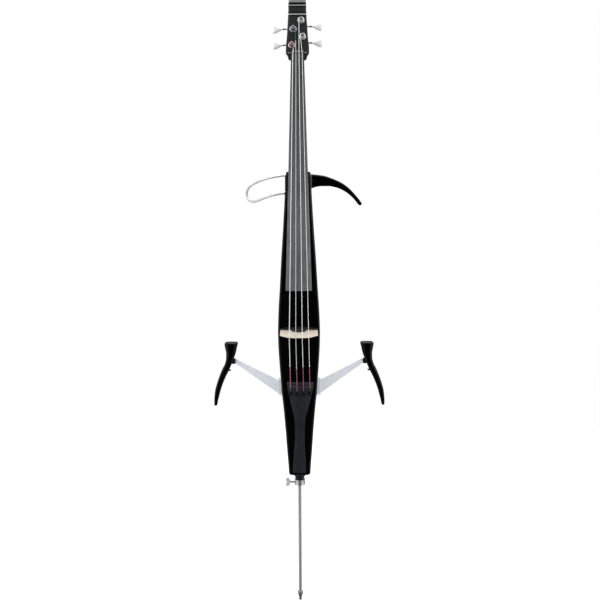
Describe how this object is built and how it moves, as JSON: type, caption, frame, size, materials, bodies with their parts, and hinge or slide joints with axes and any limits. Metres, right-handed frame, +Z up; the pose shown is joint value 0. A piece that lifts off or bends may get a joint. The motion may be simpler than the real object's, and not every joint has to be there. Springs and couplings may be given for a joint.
{
  "type": "electric cello",
  "caption": "Full-size electric cello: slim black body and long neck, rod loop and horn for upper bouts, hinged knee pads, maple bridge, worm tuners and sliding endpin.",
  "frame": {"origin": "the endpin tip's flat foot on the floor", "axes": "+Z up the instrument, +X right as the audience sees it, the strings face -Y"},
  "size_m": [0.43, 0.1801, 1.5239],
  "materials": {
    "gloss_black": "gloss",
    "satin_black": "satin",
    "neck_black": "satin black lacquer",
    "body_black": "gloss black lacquer",
    "fingerboard_grey": "satin",
    "tail_grey": "satin",
    "maple": "bare, lightly polished",
    "chrome": "polished",
    "steel": "brushed",
    "aluminium": "pale anodised",
    "wire": "wound wire",
    "pad_rubber": "satin",
    "tip_rubber": "matt",
    "plastic": "fine texture",
    "board_green": "solder mask",
    "cell_grey": "satin"
  },
  "bodies": {
    "root": {"body_shell": "body_black", "neck": "neck_black", "fingerboard": "fingerboard_grey", "nut": "neck_black", "bridge": "maple", "bridge_pickup": "plastic", "tailpiece": "tail_grey", "endpin_socket": "satin_black", "endpin_clamp": "chrome", "right_frame_horn": "gloss_black", "horn_plate": "aluminium", "back_cover": "plastic", "battery": "cell_grey", "circuit_board": "board_green", "line_out_jack": "chrome", "headphone_jack": "chrome", "string_c": "wire", "tuner_housing_c": "steel", "tuner_bushing_c": "chrome", "string_g": "wire", "tuner_housing_g": "steel", "tuner_bushing_g": "chrome", "string_d": "wire", "tuner_housing_d": "steel", "tuner_bushing_d": "chrome", "string_a": "wire", "tuner_housing_a": "steel", "tuner_bushing_a": "chrome", "knee_bracket_left": "steel", "knee_hinge_pin_left": "steel", "knee_bracket_right": "steel", "knee_hinge_pin_right": "steel"},
    "endpin": {"endpin_rod": "chrome", "endpin_tip": "tip_rubber"},
    "thumbscrew": {"endpin_thumbscrew": "chrome"},
    "tuner_key_c": {"tuner_key_c": "chrome"},
    "tuner_post_c": {"tuner_post_c": "chrome"},
    "tuner_key_g": {"tuner_key_g": "chrome"},
    "tuner_post_g": {"tuner_post_g": "chrome"},
    "tuner_key_d": {"tuner_key_d": "chrome"},
    "tuner_post_d": {"tuner_post_d": "chrome"},
    "tuner_key_a": {"tuner_key_a": "chrome"},
    "tuner_post_a": {"tuner_post_a": "chrome"},
    "fine_tuner_screw_c": {"fine_tuner_screw_c": "satin_black"},
    "fine_tuner_lever_c": {"fine_tuner_lever_c": "steel"},
    "fine_tuner_screw_g": {"fine_tuner_screw_g": "satin_black"},
    "fine_tuner_lever_g": {"fine_tuner_lever_g": "steel"},
    "fine_tuner_screw_d": {"fine_tuner_screw_d": "satin_black"},
    "fine_tuner_lever_d": {"fine_tuner_lever_d": "steel"},
    "fine_tuner_screw_a": {"fine_tuner_screw_a": "satin_black"},
    "fine_tuner_lever_a": {"fine_tuner_lever_a": "steel"},
    "knee_left": {"knee_arm_left": "aluminium", "knee_pad_left": "pad_rubber"},
    "knee_right": {"knee_arm_right": "aluminium", "knee_pad_right": "pad_rubber"},
    "left_frame": {"left_frame_rod": "steel"},
    "battery_door": {"battery_door": "plastic"},
    "tone_knob": {"tone_knob": "plastic"},
    "volume_knob": {"volume_knob": "plastic"},
    "reverb_switch": {"reverb_switch": "plastic"}
  },
  "joints": [
    {"name": "endpin_slide", "type": "slide", "parent": "root", "child": "endpin", "axis": [0, 0, 1], "range_m": [-0.06, 0.26]},
    {"name": "endpin_thumbscrew_turn", "type": "hinge", "parent": "root", "child": "thumbscrew", "pos_m": [-0.02, 0, 0.30485], "axis": [-1, 0, 0], "range_deg": [-720, 0]},
    {"name": "tuner_key_c_turn", "type": "hinge", "parent": "root", "child": "tuner_key_c", "pos_m": [-0.0139, 0.02594, 1.39129], "axis": [1, 0, 0], "continuous": true},
    {"name": "tuner_post_c_turn", "type": "hinge", "parent": "root", "child": "tuner_post_c", "pos_m": [-0.0139, -0.00079, 1.38945], "axis": [0, -0.9736, 0.2284], "continuous": true},
    {"name": "tuner_key_g_turn", "type": "hinge", "parent": "root", "child": "tuner_key_g", "pos_m": [-0.0104, 0.03516, 1.43063], "axis": [1, 0, 0], "continuous": true},
    {"name": "tuner_post_g_turn", "type": "hinge", "parent": "root", "child": "tuner_post_g", "pos_m": [-0.0104, 0.00843, 1.42878], "axis": [0, -0.9736, 0.2284], "continuous": true},
    {"name": "tuner_key_d_turn", "type": "hinge", "parent": "root", "child": "tuner_key_d", "pos_m": [0.0091, 0.03662, 1.43686], "axis": [1, 0, 0], "continuous": true},
    {"name": "tuner_post_d_turn", "type": "hinge", "parent": "root", "child": "tuner_post_d", "pos_m": [0.0091, 0.0135, 1.4504], "axis": [0, -0.9736, 0.2284], "continuous": true},
    {"name": "tuner_key_a_turn", "type": "hinge", "parent": "root", "child": "tuner_key_a", "pos_m": [0.0124, 0.02719, 1.39665], "axis": [1, 0, 0], "continuous": true},
    {"name": "tuner_post_a_turn", "type": "hinge", "parent": "root", "child": "tuner_post_a", "pos_m": [0.0124, 0.00407, 1.41019], "axis": [0, -0.9736, 0.2284], "continuous": true},
    {"name": "fine_tuner_screw_c_turn", "type": "hinge", "parent": "root", "child": "fine_tuner_screw_c", "pos_m": [-0.02152, -0.08001, 0.54448], "axis": [0, -0.9794, -0.2019], "range_deg": [-1440, 0]},
    {"name": "fine_tuner_lever_c_rock", "type": "hinge", "parent": "root", "child": "fine_tuner_lever_c", "pos_m": [-0.02141, -0.07596, 0.55256], "axis": [0.9999, 0.003, -0.0144], "range_deg": [0, 8]},
    {"name": "fine_tuner_screw_g_turn", "type": "hinge", "parent": "root", "child": "fine_tuner_screw_g", "pos_m": [-0.00572, -0.08404, 0.54341], "axis": [0, -0.9794, -0.2019], "range_deg": [-1440, 0]},
    {"name": "fine_tuner_lever_g_rock", "type": "hinge", "parent": "root", "child": "fine_tuner_lever_g", "pos_m": [-0.00561, -0.07999, 0.55149], "axis": [0.9999, 0.003, -0.0144], "range_deg": [0, 8]},
    {"name": "fine_tuner_screw_d_turn", "type": "hinge", "parent": "root", "child": "fine_tuner_screw_d", "pos_m": [0.01008, -0.08399, 0.54318], "axis": [0, -0.9794, -0.2019], "range_deg": [-1440, 0]},
    {"name": "fine_tuner_lever_d_rock", "type": "hinge", "parent": "root", "child": "fine_tuner_lever_d", "pos_m": [0.01018, -0.07994, 0.55127], "axis": [0.9999, 0.003, -0.0144], "range_deg": [0, 8]},
    {"name": "fine_tuner_screw_a_turn", "type": "hinge", "parent": "root", "child": "fine_tuner_screw_a", "pos_m": [0.02588, -0.07987, 0.5438], "axis": [0, -0.9794, -0.2019], "range_deg": [-1440, 0]},
    {"name": "fine_tuner_lever_a_rock", "type": "hinge", "parent": "root", "child": "fine_tuner_lever_a", "pos_m": [0.02598, -0.07582, 0.55188], "axis": [0.9999, 0.003, -0.0144], "range_deg": [0, 8]},
    {"name": "knee_fold_left", "type": "hinge", "parent": "root", "child": "knee_left", "pos_m": [-0.0505, 0.005, 0.5471], "axis": [0, 0, -1], "range_deg": [0, 75]},
    {"name": "knee_fold_right", "type": "hinge", "parent": "root", "child": "knee_right", "pos_m": [0.0505, 0.005, 0.5471], "axis": [0, 0, 1], "range_deg": [0, 75]},
    {"name": "left_frame_rod_slide", "type": "slide", "parent": "root", "child": "left_frame", "axis": [-1, 0, 0], "range_m": [0, 0.045]},
    {"name": "battery_door_open", "type": "hinge", "parent": "root", "child": "battery_door", "pos_m": [0, 0.03035, 0.6058], "axis": [-1, 0, 0], "range_deg": [0, 95]},
    {"name": "tone_knob_turn", "type": "hinge", "parent": "root", "child": "tone_knob", "pos_m": [0, 0.035, 0.7276], "axis": [0, 1, 0], "range_deg": [-150, 150]},
    {"name": "volume_knob_turn", "type": "hinge", "parent": "root", "child": "volume_knob", "pos_m": [0, 0.035, 0.7596], "axis": [0, 1, 0], "range_deg": [-150, 150]},
    {"name": "reverb_switch_slide", "type": "slide", "parent": "root", "child": "reverb_switch", "axis": [0, 0, 1], "range_m": [-0.003, 0.003]}
  ],
  "couplings": [
    {"joint": "tuner_post_c_turn", "follows": "tuner_key_c_turn", "ratio": 0.071429},
    {"joint": "tuner_post_g_turn", "follows": "tuner_key_g_turn", "ratio": 0.071429},
    {"joint": "tuner_post_d_turn", "follows": "tuner_key_d_turn", "ratio": -0.071429},
    {"joint": "tuner_post_a_turn", "follows": "tuner_key_a_turn", "ratio": -0.071429},
    {"joint": "fine_tuner_lever_c_rock", "follows": "fine_tuner_screw_c_turn", "ratio": -0.0055556},
    {"joint": "fine_tuner_lever_g_rock", "follows": "fine_tuner_screw_g_turn", "ratio": -0.0055556},
    {"joint": "fine_tuner_lever_d_rock", "follows": "fine_tuner_screw_d_turn", "ratio": -0.0055556},
    {"joint": "fine_tuner_lever_a_rock", "follows": "fine_tuner_screw_a_turn", "ratio": -0.0055556}
  ]
}
